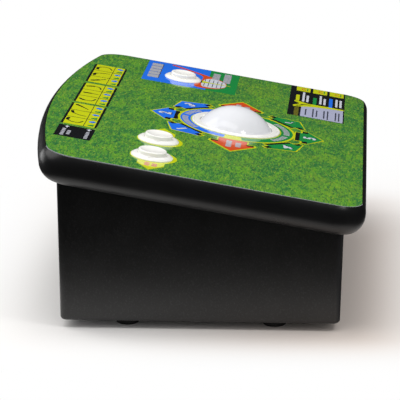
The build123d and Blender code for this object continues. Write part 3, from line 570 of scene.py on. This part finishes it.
# six numbered direction arrows
arrows = Artwork("print_direction_arrows")
ARROW_MIDDLE = (0.0, -1.1)
ARROW_EDGE = mirrored([(77.4, 0), (62.0, 22.8), (56.4, 21.9), (55.8, 15.8), (50.6, 15.8)])
ARROW_SHADOW = mirrored([(62.6, 20.9), (57.8, 20.9), (57.4, 14.5), (51.6, 14.5)])
ARROW_FACE = mirrored([(75.5, 0), (62.4, 20.9), (62.2, 14.5), (55.4, 14.5)])
DIRECTIONS = ((135, "1", "blue"), (90, "2", "blue"), (45, "3", "blue"),
              (225, "4", "green"), (270, "5", "green"), (315, "6", "green"))
LINK_REACH, LINK_SIDE = 57.0, 21.5  # where the links between neighbouring arrows end
for angle, number, color in DIRECTIONS:
    arrows.shape(turned(ARROW_EDGE, angle, centre=ARROW_MIDDLE), "yellow", 1)
    arrows.shape(turned(ARROW_SHADOW, angle, centre=ARROW_MIDDLE), "black", 2)
    arrows.shape(turned(ARROW_FACE, angle, centre=ARROW_MIDDLE), color, 3)
# links that close the small cells between neighbouring arrows
for angle in (90, 45, 225, 270):
    here = turned([(LINK_REACH, LINK_SIDE)], angle, centre=ARROW_MIDDLE)[0]
    there = turned([(LINK_REACH, -LINK_SIDE)], angle + 45, centre=ARROW_MIDDLE)[0]
    arrows.stroke([here, there], 1.2, "yellow", 4)
arrows.build()

# plain numbers on the arrows, each over an offset dark copy
NUMBER_SIZE = 14.5
NUMBER_WEIGHT = 0.6  # how much the strokes are thickened
NUMBER_REACH = 64.2  # from the arrows' middle
NUMBER_SHADOW = 0.9  # shift of the dark copy


def number_mesh(number):
    """A flat number whose strokes have a little thickness, centred on its own middle."""
    text = bpy.data.curves.new("number", "FONT")
    text.body = number
    text.size = NUMBER_SIZE
    text.align_x = "CENTER"
    text.align_y = "CENTER"
    text.offset = NUMBER_WEIGHT
    text.extrude = SHEET / 2
    source = bpy.data.objects.new("number", text)
    bpy.context.scene.collection.objects.link(source)
    bpy.context.view_layer.update()
    mesh = bpy.data.meshes.new_from_object(source.evaluated_get(bpy.context.evaluated_depsgraph_get()))
    bpy.data.objects.remove(source)
    low = min(corner.co.y for corner in mesh.vertices)
    high = max(corner.co.y for corner in mesh.vertices)
    mesh.transform(Matrix.Translation((0, -(low + high) / 2, 0)))
    return mesh


numbers = Artwork("print_arrow_numbers")
for angle, number, _ in DIRECTIONS:
    mesh = number_mesh(number)
    spin = radians(angle - 90 if angle < 180 else angle + 90)
    x, v = turned([(NUMBER_REACH, 0)], angle, centre=ARROW_MIDDLE)[0]
    numbers.stamp(mesh, x + NUMBER_SHADOW, v - NUMBER_SHADOW, spin, "shadow", 4)
    numbers.stamp(mesh, x, v, spin, "pale", 5)
numbers.build()

# orange arrows at both sides of the ball
sides = Artwork("print_side_arrows")
SIDE_EDGE = mirrored([(93.0, 0), (65.4, 21.2), (61.0, 19.6), (60.6, 13.6), (50.6, 13.6)])
SIDE_SHADOW = mirrored([(65.4, 18.6), (61.8, 18.4), (61.8, 12.4), (51.0, 12.4)])
SIDE_FACE = mirrored([(90.6, 0), (65.8, 18.8), (65.6, 12.2), (52.0, 12.2)])
SIDE_MIDDLE = (0.0, -0.8)
for angle, way in ((0, 1), (180, -1)):
    sides.shape(turned(SIDE_EDGE, angle, centre=SIDE_MIDDLE), "yellow", 1)
    sides.shape(turned(SIDE_SHADOW, angle, centre=SIDE_MIDDLE), "black", 2)
    sides.shape(turned(SIDE_FACE, angle, centre=SIDE_MIDDLE), "orange", 3)
    for near, far, low, high in ((57.2, 78.6, -0.4, 4.4), (60.0, 74.8, -8.4, -3.6)):
        sides.row(way * near, way * far, low, high, 5, 0.3, "grey", 4)
sides.build()

# yellow backing of the two left buttons
backing = Artwork("print_button_backing")
outer_x, button_v = panel_place("outer_button_plunger")
inner_x = panel_place("inner_button_plunger")[0]
BACKING_HOLE, BACKING_RADIUS = 14.5, 19.3
# distances from a button's centre: the backing's point, its shoulder, its foot and the first block
TIP, SHOULDER, FOOT, FIRST_BLOCK = 41.5, 26.5, 15.5, 30.5
SHOULDER_HALF = 11.0  # half the width at the shoulder
BACKING_POINT = mirrored([(TIP, 0), (SHOULDER, SHOULDER_HALF), (FOOT, SHOULDER_HALF)])
for x, way in ((outer_x, -1), (inner_x, 1)):
    backing.ring(BACKING_HOLE, BACKING_RADIUS, "yellow", 1, centre=(x, button_v))
    backing.shape([(x + way * s, button_v + p) for s, p in BACKING_POINT], "yellow", 2)
    for low, high, length in ((0.6, 4.9, 10.8), (-5.4, -1.0, 9.6)):
        block = x + way * FIRST_BLOCK
        backing.row(block, block - way * length, button_v + low, button_v + high, 4, 0.2, "faded_red", 3)
backing.build()

# start button panel with a plain paddle and peg
start = Artwork("print_start_panel")
PANEL_LEFT = 113.8
PANEL_LOW, PANEL_SPLIT, PANEL_HIGH = 8.2, 36.2, 96.2
start.bar(PANEL_LEFT, PRINT_EDGE, PANEL_SPLIT, PANEL_HIGH, "blue", 1, corner=0.2)
start.bar(PANEL_LEFT, PRINT_EDGE, PANEL_LOW, PANEL_SPLIT, "green", 1, corner=0.2)
TITLE_LEFT, TITLE_PITCH, TITLE_WIDTH, TITLE_SHADOW = 128.4, 12.3, 10.8, 0.8
for k in range(5):
    left = TITLE_LEFT + TITLE_PITCH * k
    right = left + TITLE_WIDTH
    start.bar(left + TITLE_SHADOW, right + TITLE_SHADOW, 81.2, 91.2, "line", 2, corner=1.2)
    start.bar(left, right, 82.0, 92.2, "grey", 3, corner=1.2)
paddle = curve([(193.6, 74.2), (190.6, 71.6), (181.0, 57.0), (172.0, 45.2), (164.0, 41.6), (150.0, 42.6),
                (136.0, 46.2), (126.6, 47.6), (120.8, 44.2), (120.6, 36.0), (124.2, 28.2), (131.0, 21.4),
                (140.0, 18.4), (152.0, 18.6), (161.6, 23.6), (169.6, 33.0), (176.4, 42.6), (187.4, 59.8),
                (196.2, 72.6)])
start.shape(paddle, "orange", 2)
face = curve([(126.4, 39.6), (134.0, 41.6), (146.0, 40.8), (157.6, 38.6), (163.2, 33.0), (160.4, 25.4),
              (152.4, 19.6), (140.4, 18.6), (131.4, 22.6), (126.0, 31.0), (126.4, 39.6)])
start.shape(face[:-1], "pale", 3)
for k in range(5):
    v = 22.4 + 4.0 * k
    start.bar(128.6 + abs(k - 2) * 0.6, 160.4 - abs(k - 3) * 1.6, v, v + 0.7, "line", 4, corner=0.3)
peg = [(140.4, 41.4), (149.2, 41.4), (146.0, 33.6), (145.2, 14.4), (143.8, 14.4), (143.4, 33.6)]
start.shape(peg, "yellow", 5)
start.bar(140.6, 149.0, 41.2, 43.0, "black", 5)
for left, right, low, high, count in ((161.8, 188.8, 26.2, 33.0, 6), (154.8, 193.4, 15.6, 22.4, 8)):
    start.row(left, right, low, high, count, 0.3, "grey", 4)
start.build()

# legend in the front right corner: rows of plain bars, no words
legend = Artwork("print_legend")
LEGEND_LEFT = 77.8
legend.bar(LEGEND_LEFT, PRINT_EDGE, -94.4, -42.2, "black", 1, corner=0.2)
for k in range(6):
    legend.bar(78.8 + 5.4 * k, 83.2 + 5.4 * k, -52.2, -48.0, "dull_yellow", 2)
legend.bar(78.6, 129.6, -93.3, -54.1, "panel", 2, corner=0.3)
for low, left, right in ((-59.4, 85.6, 109.6), (-66.2, 81.6, 115.0), (-69.6, 85.6, 111.0),
                         (-76.4, 83.6, 114.0), (-79.8, 81.6, 115.6), (-87.2, 82.4, 115.0),
                         (-90.2, 82.4, 114.4)):
    legend.bar(left, right, low, low + 1.3, "line", 3, corner=0.3)
swoosh = curve([(131.8, -93.2), (127.6, -93.2), (125.6, -80.0), (122.6, -68.0), (119.4, -59.6),
                (116.4, -55.0), (114.0, -50.4), (113.4, -46.8), (119.0, -46.6), (123.6, -50.2),
                (128.6, -51.6), (133.6, -47.4), (137.0, -47.4), (136.4, -52.6), (133.4, -57.4),
                (131.6, -62.0), (132.2, -76.0)])
legend.shape(swoosh, "yellow", 4)
legend.stroke(curve([(117.6, -49.4), (121.4, -53.6), (126.0, -56.0), (127.0, -62.0)]), 1.6, "black", 5)
for top, color, right, first_row, second_row in (
    (-48.1, "yellow", 163.2, 177.4, 166.0),
    (-64.3, "green", 161.6, 173.6, 164.4),
    (-79.5, "blue", 169.4, 169.8, 168.6),
):
    legend.bar(138.4 if color == "yellow" else 131.6, right, top - 3.4, top, color, 2)
    legend.bar(138.4, first_row, top - 8.2, top - 6.0, "pale", 2, corner=0.8)
    legend.bar(138.4, second_row, top - 12.1, top - 9.9, "pale", 2, corner=0.8)
for low, high in ((-60.8, -47.7), (-77.0, -63.6), (-93.0, -79.6)):
    legend.bar(180.4, PRINT_EDGE, low, high, "yellow", 2, corner=0.3)
    middle = (low + high) / 2
    legend.stroke(curve([(185.0, middle - 2.2), (189.6, middle + 1.6), (194.4, middle - 2.2)]), 1.1, "red", 3)
    legend.bar(184.4, 194.8, middle - 4.4, middle - 3.4, "green", 3)
legend.build()

# chart along the back edge: a dark key box and three groups of three cells
chart = Artwork("print_chart")
CHART_LOW, CHART_HIGH, CHART_SPLIT = 112.0, 142.4, 122.8
chart.bar(-138.6, -101.8, CHART_LOW, CHART_HIGH, "black", 1, corner=0.2)
for left, right, low, high, count in (
    (-136.0, -112.4, 134.9, 138.0, 5),
    (-131.6, -117.2, 130.2, 133.2, 3),
    (-136.0, -113.0, 115.2, 118.2, 5),
):
    chart.row(left, right, low, high, count, 0.5, "grey", 2, corner=0.9)
for v in (135.2, 116.8):
    chart.shape([(-103.2, v), (-106.4, v + 2.1), (-106.4, v + 0.8), (-109.4, v + 0.8), (-109.4, v - 0.8),
                 (-106.4, v - 0.8), (-106.4, v - 2.1)], "pale", 2)
CELL = 24.8  # width of a cell
FRAME_LINE = 2.0  # black lines above and below the cells
CELLS_LOW, CELLS_HIGH = CHART_LOW + FRAME_LINE, CHART_HIGH - FRAME_LINE
PATHS = (  # one drawn path per cell, from the cell's left edge
    [(20.0, 138.0), (13.0, 138.2), (8.2, 133.4), (8.6, 128.2), (14.6, 125.4)],
    [(20.4, 138.2), (14.4, 137.0), (9.8, 131.4), (8.8, 125.6)],
    [(19.0, 137.6), (14.2, 132.2), (8.0, 126.4)],
    [(12.6, 138.2), (9.4, 134.2), (10.4, 127.6), (18.0, 125.2)],
    [(12.4, 137.8), (12.5, 131.8), (12.4, 125.4)],
    [(12.6, 138.0), (15.8, 132.4), (14.6, 127.2), (7.4, 125.2)],
    [(6.6, 137.4), (12.2, 131.4), (18.6, 126.2)],
    [(4.6, 138.2), (11.8, 137.4), (16.0, 131.8), (17.2, 125.6)],
    [(5.4, 138.0), (12.4, 138.0), (17.2, 133.4), (16.4, 128.0), (10.0, 125.2)],
)
for group, left in enumerate((-96.0, -15.8, 65.4)):
    right = left + 3 * CELL
    chart.bar(left, right, CHART_LOW, CHART_HIGH, "black", 1, corner=0.2)
    chart.bar(left, right, CELLS_LOW, CELLS_HIGH, "yellow", 2, corner=0.2)
    chart.bar(left, right, CHART_SPLIT, CHART_SPLIT + 0.6, "sketch", 3, corner=0.1)
    for k in range(3):
        cell = left + CELL * k
        if k:
            chart.bar(cell - 0.5, cell + 0.5, CELLS_LOW, CELLS_HIGH, "sketch", 3, corner=0.1)
        path = curve([(cell + x, v) for x, v in PATHS[3 * group + k]])
        chart.stroke(path, 1.3, "sketch", 4)
        chart.stroke(path[:7], 2.6, "black", 5)
        mound = [(cell + 3.0, 115.2), (cell + 9.6, 115.2), (cell + 5.4, 120.4), (cell + 3.4, 119.6)]
        chart.shape(mound, "green", 4)
        aim = turned(mirrored([(3.6, 0), (0.6, 3.4), (0.6, 2.0), (-2.8, 2.0)]), 135 - 45 * k,
                     centre=(cell + 17.6, 117.6))
        chart.shape(aim, "blue", 4)
chart.build()

# the laminate's cut edge along the near side: a light grey strip, partly the edge's own pale colour and partly a
# painted highlight line
# the overlay's near corners: middle, radius, first and last angle
EDGE_CORNERS = ((-174.0, 117.6, 25.0, 104, 180), (-179.0, -92.8, 20.0, 180, 262))
EDGE_IN, EDGE_OUT = 0.02, 0.42  # mm outside the overlay
EDGE_TALL, EDGE_LOW = 0.85, 0.25  # height above the print at the back and at the front
EDGE_FOOT = -0.3  # its underside
EDGE_SLOPE = 0.1  # how much lower its outer side is


def laminate_edge():
    """A thin strip with a four sided section that follows the overlay round its two near corners."""
    piece = Artwork("laminate_edge")
    stops = []
    for cx, cv, radius, first, last in EDGE_CORNERS:
        steps = ceil(abs(last - first) / ARC_STEP)
        for k in range(steps + 1):
            stops.append((cx, cv, radius, radians(first + (last - first) * k / steps)))
    heights = [cv + radius * sin(a) for _, cv, radius, a in stops]
    longest = heights[0] - heights[-1]
    for (cx, cv, radius, a), v in zip(stops, heights):
        top = EDGE_TALL + (EDGE_LOW - EDGE_TALL) * (heights[0] - v) / longest
        section = ((EDGE_IN, EDGE_FOOT), (EDGE_IN, top), (EDGE_OUT, top - EDGE_SLOPE), (EDGE_OUT, EDGE_FOOT))
        for out, height in section:
            reach = radius + out
            piece.points.append(on_panel(cx + reach * cos(a), cv + reach * sin(a), height))
    last = len(stops) - 1
    for k in range(last):
        for i in range(4):
            j = (i + 1) % 4
            piece.faces.append([4 * k + i, 4 * k + j, 4 * k + 4 + j, 4 * k + 4 + i])
    piece.faces.append([3, 2, 1, 0])
    piece.faces.append([4 * last + i for i in range(4)])
    piece.colors = [piece.ink_index("edge")] * len(piece.faces)
    piece.build()


laminate_edge()

# ---------------------------------------------------------------- floor, light and camera
FADE_START, FADE_END = -5.0, 150.0  # mm from the body, where the floor melts into the background
BEHIND_START, BEHIND_END = 60.0, 420.0  # mm right of the middle, where it melts into the background too
DARK_START, DARK_END = 20.0, 160.0  # mm from the body, where its reflections go dark
PAINTED_SHADE_START, PAINTED_SHADE_END = 5.0, 80.0  # mm from the body, where its darker, warm painted shade fades
PAINTED_SHADE_FRONT, PAINTED_SHADE_BACK = -125.0, 90.0  # mm from the middle, where the painted shade is full and where it ends
PLAIN_RATES = ((1.0, 1.0), (1.0, 1.0))
FADE_RATES = ((1.6, 0.6), (0.36, 1.5))  # left and right of the body, then in front of it and behind it
FLOOR_HALF = 4.0  # m


def away(look, rates):
    """How far a point on the floor is from the body's sides, in mm, each way's distance times its rate."""
    split = look.add("ShaderNodeSeparateXYZ")
    look.feed(split.inputs[0], look.place)
    low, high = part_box("body_shell")
    squares = []
    for axis, (before_rate, after_rate), least, most in zip("XY", rates, low, high):
        before = look.math("SUBTRACT", least / MM, split.outputs[axis])
        after = look.math("SUBTRACT", split.outputs[axis], most / MM)
        before = look.math("MULTIPLY", before, before_rate)
        after = look.math("MULTIPLY", after, after_rate)
        gap = look.math("MAXIMUM", look.math("MAXIMUM", before, after), 0.0)
        squares.append(look.math("MULTIPLY", gap, gap))
    return look.math("SQRT", look.math("ADD", squares[0], squares[1]))


def floor_look():
    """Pale paper that fades to the white background, with a darker, warm painted shade near the body's front. Away
    from the body it is dark in reflections.
    """
    look = Look("floor")
    split = look.add("ShaderNodeSeparateXYZ")
    look.feed(split.inputs[0], look.place)
    specks = look.noise(3.0, detail=4)
    distance = away(look, PLAIN_RATES)
    beside = look.span(away(look, FADE_RATES), FADE_START, FADE_END)
    behind = look.span(split.outputs["X"], BEHIND_START, BEHIND_END)
    seen = look.add("ShaderNodeLightPath").outputs["Is Camera Ray"]
    cool = look.mix(specks, (0.88, 0.865, 0.85, 1), (0.91, 0.895, 0.88, 1))
    # painted shade: close to the body's front the paper is darker and warmer
    warm_painted_shade = look.mix(specks, (0.83, 0.74, 0.68, 1), (0.86, 0.77, 0.71, 1))
    near = look.span(distance, PAINTED_SHADE_START, PAINTED_SHADE_END, 1.0, 0.1)
    painted_shade_share = look.math("MULTIPLY", near, look.span(split.outputs["Y"], PAINTED_SHADE_BACK, PAINTED_SHADE_FRONT))
    paper_and_painted_shade = look.mix(painted_shade_share, cool, warm_painted_shade)
    unlit = look.span(distance, DARK_START, DARK_END)
    unseen = look.math("MULTIPLY", unlit, look.math("SUBTRACT", 1.0, seen))
    base = look.mix(unseen, paper_and_painted_shade, (0.03, 0.03, 0.03, 1))
    look.set(Base_Color=base, Roughness=0.8, Specular_IOR_Level=0.1)
    glow = look.add("ShaderNodeEmission")
    blend = look.add("ShaderNodeMixShader")
    look.feed(blend.inputs[0], look.math("MULTIPLY", look.math("MAXIMUM", beside, behind), seen))
    look.feed(blend.inputs[1], look.shader.outputs[0])
    look.feed(blend.inputs[2], glow.outputs[0])
    output = next(n for n in look.tree.nodes if n.type == "OUTPUT_MATERIAL")
    look.feed(output.inputs["Surface"], blend.outputs[0])
    return look.material


def make_floor():
    """A plain flat floor at the feet."""
    mesh = bpy.data.meshes.new("floor")
    corners = [(x * FLOOR_HALF, y * FLOOR_HALF, 0) for x, y in ((-1, -1), (1, -1), (1, 1), (-1, 1))]
    mesh.from_pydata(corners, [], [(0, 1, 2, 3)])
    mesh.materials.append(floor_look())
    floor = bpy.data.objects.new("floor", mesh)
    bpy.context.scene.collection.objects.link(floor)


TARGET = (0, 0, 0.1)  # where every softbox points


def softbox(name, place, size, power, color=(1, 1, 1), mirrored_in_gloss=True):
    """A rectangular softbox at place, facing the console. It can be kept out of glossy reflections."""
    data = bpy.data.lights.new(name, "AREA")
    data.shape = "RECTANGLE"
    data.size, data.size_y = size
    data.energy = power
    data.color = color
    lamp = bpy.data.objects.new(name, data)
    lamp.location = place
    lamp.visible_glossy = mirrored_in_gloss
    lamp.rotation_mode = "QUATERNION"
    lamp.rotation_quaternion = (Vector(TARGET) - Vector(place)).to_track_quat("-Z", "Y")
    bpy.context.scene.collection.objects.link(lamp)


WORLD_SEEN = 1.0
WORLD_ON_MATT = 0.60
WORLD_IN_REFLECTIONS = 0.02


def make_world():
    """White to the camera, soft on matt surfaces, and dim in reflections, so that dark plastic stays dark."""
    world = bpy.data.worlds.new("world")
    bpy.context.scene.world = world
    world.use_nodes = True
    tree = world.node_tree
    tree.nodes.clear()
    output = tree.nodes.new("ShaderNodeOutputWorld")
    path = tree.nodes.new("ShaderNodeLightPath")

    def background(strength):
        light = tree.nodes.new("ShaderNodeBackground")
        light.inputs["Color"].default_value = (1, 1, 1, 1)
        light.inputs["Strength"].default_value = strength
        return light.outputs[0]

    result = background(WORLD_IN_REFLECTIONS)
    for strength, ray in ((WORLD_ON_MATT, "Is Diffuse Ray"), (WORLD_SEEN, "Is Camera Ray")):
        blend = tree.nodes.new("ShaderNodeMixShader")
        tree.links.new(path.outputs[ray], blend.inputs[0])
        tree.links.new(result, blend.inputs[1])
        tree.links.new(background(strength), blend.inputs[2])
        result = blend.outputs[0]
    tree.links.new(result, output.inputs["Surface"])


CAMERA_PLACE = (-1.8138, -0.13773, 0.5600)
CAMERA_YAW, CAMERA_PITCH, CAMERA_ROLL = 4.575, 15.42, -0.599  # degrees
LENS, SENSOR = 192.46, 36  # mm


def make_camera():
    """A long lens 1.8 m from the console, on the player's left, looking slightly down."""
    yaw, pitch, roll = radians(CAMERA_YAW), radians(CAMERA_PITCH), radians(CAMERA_ROLL)
    ahead = Vector((cos(yaw) * cos(pitch), sin(yaw) * cos(pitch), -sin(pitch)))
    right = Vector((sin(yaw), -cos(yaw), 0))
    up = right.cross(ahead)
    rolled_right = right * cos(roll) + up * sin(roll)
    rolled_up = up * cos(roll) - right * sin(roll)
    data = bpy.data.cameras.new("camera")
    data.sensor_width = SENSOR
    data.lens = LENS
    camera = bpy.data.objects.new("camera", data)
    place = Matrix((rolled_right, rolled_up, -ahead)).transposed().to_4x4()
    place.translation = Vector(CAMERA_PLACE)
    camera.matrix_world = place
    bpy.context.scene.collection.objects.link(camera)
    bpy.context.scene.camera = camera


make_floor()
make_world()
softbox("overhead", (-0.25, 0.10, 1.58), (0.6, 1.2), 7.9, (1.0, 0.995, 0.985), mirrored_in_gloss=False)
softbox("window", (-0.24, 0.15, 1.57), (1.2, 0.42), 3.0)
softbox("back_left", (0.15, 1.15, 1.2), (1.3, 1.1), 8.0, (1.0, 0.99, 0.98))
softbox("left_wall", (0.8, 1.36, 0.25), (0.9, 0.6), 3.5)
softbox("front_lamp", (-0.58, -0.77, 1.27), (0.22, 0.22), 2.4)
make_camera()
bpy.context.scene.view_settings.view_transform = "Standard"
